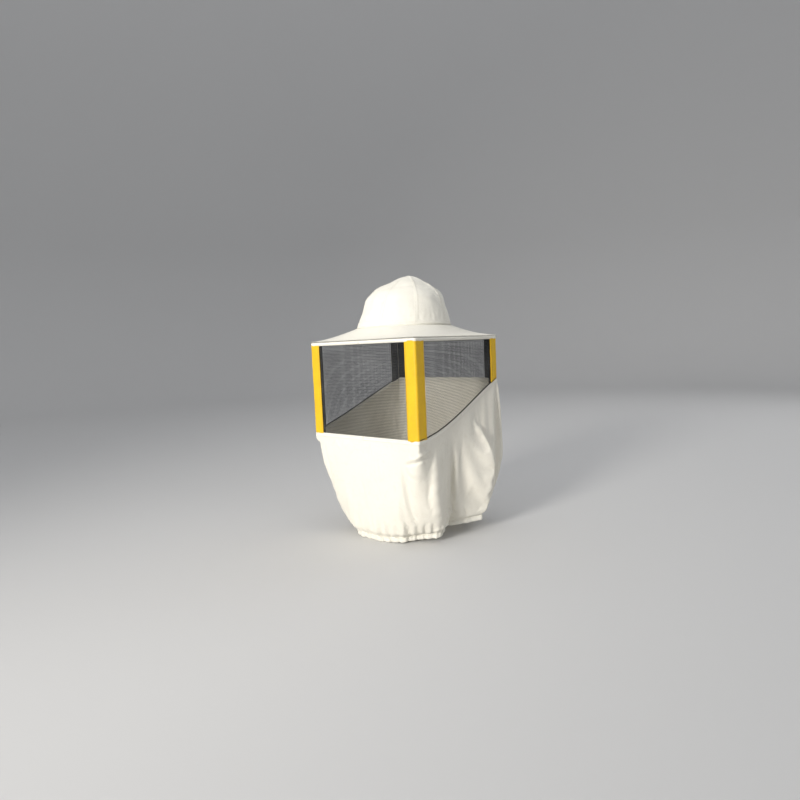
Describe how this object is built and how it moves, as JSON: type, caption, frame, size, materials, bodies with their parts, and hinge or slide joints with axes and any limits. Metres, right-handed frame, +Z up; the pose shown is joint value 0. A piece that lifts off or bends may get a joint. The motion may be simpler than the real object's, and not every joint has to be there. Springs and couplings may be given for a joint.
{
  "type": "beekeeping veil with hat",
  "caption": "Square folding veil with wire mesh sides, taped corners, a sewn-in cotton hat and a gathered cotton skirt that closes round the shoulders.",
  "frame": {"origin": "centre of the sweatband that sits on the head", "axes": "+Z up through the peak of the crown, -Y out through the front mesh, +X to the wearer's left"},
  "size_m": [0.3223, 0.3223, 0.5788],
  "materials": {
    "cotton": "plain woven cotton, matt, lightly creased",
    "brim_cotton": "stitched cotton, matt",
    "binding": "folded cotton binding",
    "wire_mesh": "black painted woven wire",
    "yellow_tape": "ribbed coated tape, satin",
    "black_tape": "black woven tape",
    "sweatband": "soft cotton twill",
    "elastic": "knitted elastic"
  },
  "bodies": {
    "root": {"crown_gore_1": "cotton", "crown_gore_2": "cotton", "crown_gore_3": "cotton", "crown_gore_4": "cotton", "crown_gore_5": "cotton", "crown_gore_6": "cotton", "crown_gore_7": "cotton", "crown_gore_8": "cotton", "hat_band": "brim_cotton", "sweatband": "sweatband"},
    "front_panel": {"front_mesh": "wire_mesh", "front_top_binding": "binding", "front_bottom_binding": "binding", "front_outer_tape_1": "yellow_tape", "front_outer_tape_2": "yellow_tape", "front_inner_tape_1": "black_tape", "front_inner_tape_2": "black_tape", "front_brim": "brim_cotton", "front_skirt": "cotton", "front_hem_casing": "cotton", "front_hem_elastic": "elastic"},
    "left_panel": {"left_mesh": "wire_mesh", "left_top_binding": "binding", "left_bottom_binding": "binding", "left_outer_tape_1": "yellow_tape", "left_outer_tape_2": "yellow_tape", "left_inner_tape_1": "black_tape", "left_inner_tape_2": "black_tape", "left_brim": "brim_cotton", "left_skirt": "cotton", "left_hem_casing": "cotton", "left_hem_elastic": "elastic"},
    "back_panel": {"back_mesh": "wire_mesh", "back_top_binding": "binding", "back_bottom_binding": "binding", "back_outer_tape_1": "yellow_tape", "back_outer_tape_2": "yellow_tape", "back_inner_tape_1": "black_tape", "back_inner_tape_2": "black_tape", "back_brim": "brim_cotton", "back_skirt": "cotton", "back_hem_casing": "cotton", "back_hem_elastic": "elastic"},
    "right_panel": {"right_mesh": "wire_mesh", "right_top_binding": "binding", "right_bottom_binding": "binding", "right_outer_tape_1": "yellow_tape", "right_outer_tape_2": "yellow_tape", "right_inner_tape_1": "black_tape", "right_inner_tape_2": "black_tape", "right_brim": "brim_cotton", "right_skirt": "cotton", "right_hem_casing": "cotton", "right_hem_elastic": "elastic"}
  },
  "joints": [
    {"name": "front_swing", "type": "hinge", "parent": "root", "child": "front_panel", "pos_m": [0, -0.1455, 0], "axis": [0, 0, 1], "range_deg": [-78, 0], "deforming": ["front_brim", "front_skirt", "front_hem_casing", "front_hem_elastic"]},
    {"name": "fold", "type": "hinge", "parent": "front_panel", "child": "right_panel", "pos_m": [-0.1455, -0.1455, 0], "axis": [0, 0, 1], "range_deg": [0, 78], "deforming": ["right_brim", "right_skirt", "right_hem_casing", "right_hem_elastic"]},
    {"name": "fold_left", "type": "hinge", "parent": "front_panel", "child": "left_panel", "pos_m": [0.1455, -0.1455, 0], "axis": [0, 0, 1], "range_deg": [0, 78], "deforming": ["left_brim", "left_skirt", "left_hem_casing", "left_hem_elastic"]},
    {"name": "fold_back", "type": "hinge", "parent": "left_panel", "child": "back_panel", "pos_m": [0.1455, 0.1455, 0], "axis": [0, 0, 1], "range_deg": [-78, 0], "deforming": ["back_brim", "back_skirt", "back_hem_casing", "back_hem_elastic"]}
  ],
  "couplings": [
    {"joint": "front_swing", "follows": "fold", "ratio": -1},
    {"joint": "fold_left", "follows": "fold", "ratio": 1},
    {"joint": "fold_back", "follows": "fold", "ratio": -1}
  ]
}
